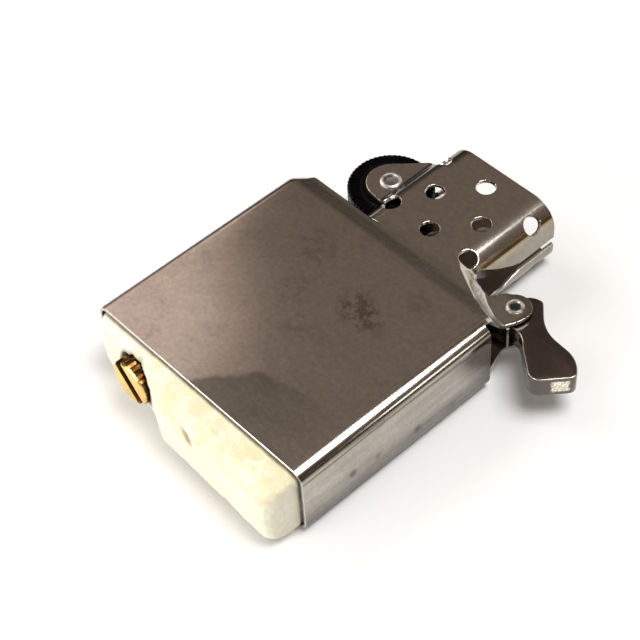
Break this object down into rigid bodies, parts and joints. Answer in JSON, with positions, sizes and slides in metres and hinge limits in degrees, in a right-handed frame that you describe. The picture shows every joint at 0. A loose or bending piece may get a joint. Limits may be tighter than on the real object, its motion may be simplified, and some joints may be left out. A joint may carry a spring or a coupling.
{
  "type": "windproof lighter inside unit",
  "caption": "Inside unit of a windproof pocket lighter: steel tank with perforated chimney, flint wheel, lid cam, slotted flint screw and felt pad, lying on its back.",
  "frame": {"origin": "centre of the tank's back face, which lies on the table", "axes": "+X across the broad face from the flint wheel's side to the cam's side, +Y from the felt end up to the chimney's top, +Z out of the broad face that shows"},
  "size_m": [0.0454, 0.0549, 0.0106],
  "materials": {
    "case_steel": "stained, fingermarked steel with fine scratches",
    "bright_steel": "worn bright steel",
    "black_steel": "blackened hardened steel",
    "dark_steel": "dark oiled steel with bright edges",
    "brass": "worn brass",
    "felt": "cream felt",
    "cotton": "loose cotton",
    "wick_braid": "fuel-stained braid",
    "copper": "bare copper wire",
    "flint_alloy": "dull grey alloy"
  },
  "bodies": {
    "frame": {"insert_case": "case_steel", "deck_plate": "bright_steel", "flint_tube": "brass", "wheel_rivet": "bright_steel", "cam_rivet": "bright_steel", "cam_spring": "bright_steel", "wick_eyelet": "brass", "wick": "wick_braid", "wick_wires": "copper", "packing_1": "cotton", "packing_2": "cotton", "packing_3": "cotton", "packing_4": "cotton", "packing_5": "cotton"},
    "wheel": {"flint_wheel": "black_steel"},
    "cam": {"cam_lever": "dark_steel"},
    "flint_stack": {"flint": "flint_alloy", "spring_tip": "brass"},
    "screw_carrier": {"flint_spring": "bright_steel"},
    "screw": {"flint_screw": "brass"},
    "felt": {"felt_pad": "felt"}
  },
  "joints": [
    {"name": "wheel_spin", "type": "hinge", "parent": "frame", "child": "wheel", "pos_m": [-0.0091, 0.0246, 0.0053], "axis": [0, 0, 1], "continuous": true},
    {"name": "cam_pivot", "type": "hinge", "parent": "frame", "child": "cam", "pos_m": [0.0158, 0.0209, 0.0053], "axis": [0, 0, 1], "range_deg": [0, 110], "deforming": ["cam_spring"]},
    {"name": "flint_feed", "type": "slide", "parent": "frame", "child": "flint_stack", "axis": [0, -1, 0], "range_m": [0, 0.0015], "stiffness_N_per_m": 60, "deforming": ["flint_spring"]},
    {"name": "screw_travel", "type": "slide", "parent": "frame", "child": "screw_carrier", "axis": [0, -1, 0], "range_m": [0, 0.0045]},
    {"name": "screw_turn", "type": "hinge", "parent": "screw_carrier", "child": "screw", "pos_m": [-0.0092, -0.0164, 0.0056], "axis": [0, 1, 0], "range_deg": [0, 2315]},
    {"name": "pad_pull", "type": "slide", "parent": "frame", "child": "felt", "axis": [0, -1, 0], "range_m": [0, 0.006]}
  ],
  "couplings": [
    {"joint": "screw_turn", "follows": "screw_travel", "rad_per_m": 8976}
  ]
}
